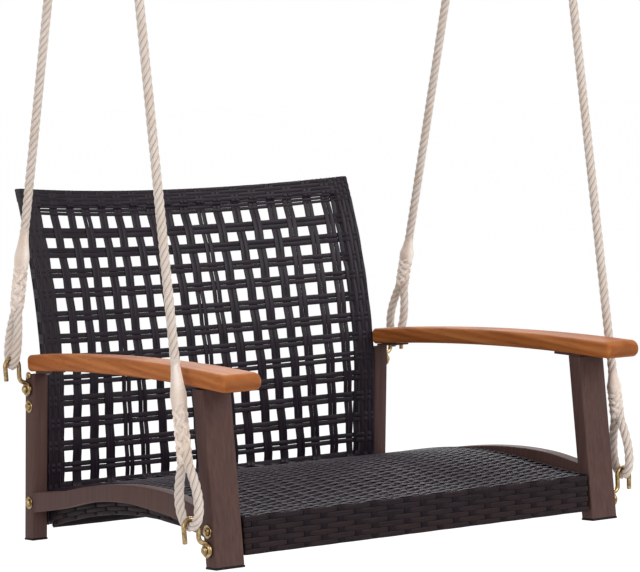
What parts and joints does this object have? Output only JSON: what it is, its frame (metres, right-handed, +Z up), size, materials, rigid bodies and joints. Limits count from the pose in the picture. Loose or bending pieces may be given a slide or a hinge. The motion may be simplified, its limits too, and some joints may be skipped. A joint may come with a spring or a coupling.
{
  "type": "hanging porch swing",
  "caption": "Porch swing seat for one with arched wooden armrests, a woven seat, an open lattice back and spliced ropes hooked to steel side frames and ceiling hangers.",
  "frame": {"origin": "on the underside of the ceiling, midway between the two hangers, which are midway between the front and rear ropes", "axes": "+Z up, the front of the seat faces -Y, +X to the right of someone who looks at its front"},
  "size_m": [0.777, 0.6849, 1.1675],
  "materials": {
    "powder_coat": "satin",
    "resin_wicker": "satin",
    "hardwood": "matte",
    "cotton_rope": "matte",
    "yellow_zinc": "satin",
    "plain_steel": "satin",
    "black_cap": "matte"
  },
  "bodies": {
    "ceiling": {"ceiling_hanger_left": "yellow_zinc", "ceiling_hanger_right": "yellow_zinc", "ceiling_screw_front_left": "plain_steel", "ceiling_screw_front_right": "plain_steel", "ceiling_screw_rear_left": "plain_steel", "ceiling_screw_rear_right": "plain_steel"},
    "front_ropes": {"rope_front_left": "cotton_rope", "rope_front_right": "cotton_rope"},
    "swing_seat": {"arch_rail_left": "powder_coat", "arch_rail_right": "powder_coat", "arm_plate_front_left": "powder_coat", "arm_plate_front_right": "powder_coat", "arm_plate_rear_left": "powder_coat", "arm_plate_rear_right": "powder_coat", "arm_screw_front_left": "plain_steel", "arm_screw_front_right": "plain_steel", "arm_screw_rear_left": "plain_steel", "arm_screw_rear_right": "plain_steel", "armrest_left": "hardwood", "armrest_right": "hardwood", "back_bolt_lower_left": "yellow_zinc", "back_bolt_lower_right": "yellow_zinc", "back_bolt_upper_left": "yellow_zinc", "back_bolt_upper_right": "yellow_zinc", "back_bottom_tube": "plain_steel", "back_bottom_wrap": "resin_wicker", "back_edge_wrap": "resin_wicker", "back_frame_tube": "plain_steel", "back_lattice": "resin_wicker", "foot_cap_front_left": "black_cap", "foot_cap_front_right": "black_cap", "foot_cap_rear_left": "black_cap", "foot_cap_rear_right": "black_cap", "front_leg_left": "powder_coat", "front_leg_right": "powder_coat", "hook_bolt_front_lower_left": "yellow_zinc", "hook_bolt_front_lower_right": "yellow_zinc", "hook_bolt_front_upper_left": "yellow_zinc", "hook_bolt_front_upper_right": "yellow_zinc", "hook_bolt_rear_lower_left": "yellow_zinc", "hook_bolt_rear_lower_right": "yellow_zinc", "hook_bolt_rear_upper_left": "yellow_zinc", "hook_bolt_rear_upper_right": "yellow_zinc", "hook_washer_left": "yellow_zinc", "hook_washer_right": "yellow_zinc", "rear_leg_left": "powder_coat", "rear_leg_right": "powder_coat", "rope_hook_front_left": "yellow_zinc", "rope_hook_front_right": "yellow_zinc", "rope_hook_rear_left": "yellow_zinc", "rope_hook_rear_right": "yellow_zinc", "seat_centre_tube": "plain_steel", "seat_front_tube": "plain_steel", "seat_rear_tube": "plain_steel", "seat_side_tube_left": "plain_steel", "seat_side_tube_right": "plain_steel", "seat_weave": "resin_wicker"},
    "rear_ropes": {"rope_rear_left": "cotton_rope", "rope_rear_right": "cotton_rope"}
  },
  "joints": [
    {"name": "swing", "type": "hinge", "parent": "ceiling", "child": "front_ropes", "pos_m": [0, -0.0768, -0.05], "axis": [1, 0, 0], "range_deg": [-15, 15]},
    {"name": "seat_on_front_ropes", "type": "hinge", "parent": "front_ropes", "child": "swing_seat", "pos_m": [0, -0.28622, -0.98388], "axis": [1, 0, 0], "range_deg": [-4.3, 4.3]},
    {"name": "rear_ropes_on_seat", "type": "hinge", "parent": "swing_seat", "child": "rear_ropes", "pos_m": [0, 0.22304, -0.85182], "axis": [1, 0, 0], "range_deg": [-5.02, 5.02]}
  ],
  "couplings": [
    {"joint": "seat_on_front_ropes", "follows": "swing", "ratio": -0.2866},
    {"joint": "rear_ropes_on_seat", "follows": "swing", "ratio": 0.3339}
  ]
}
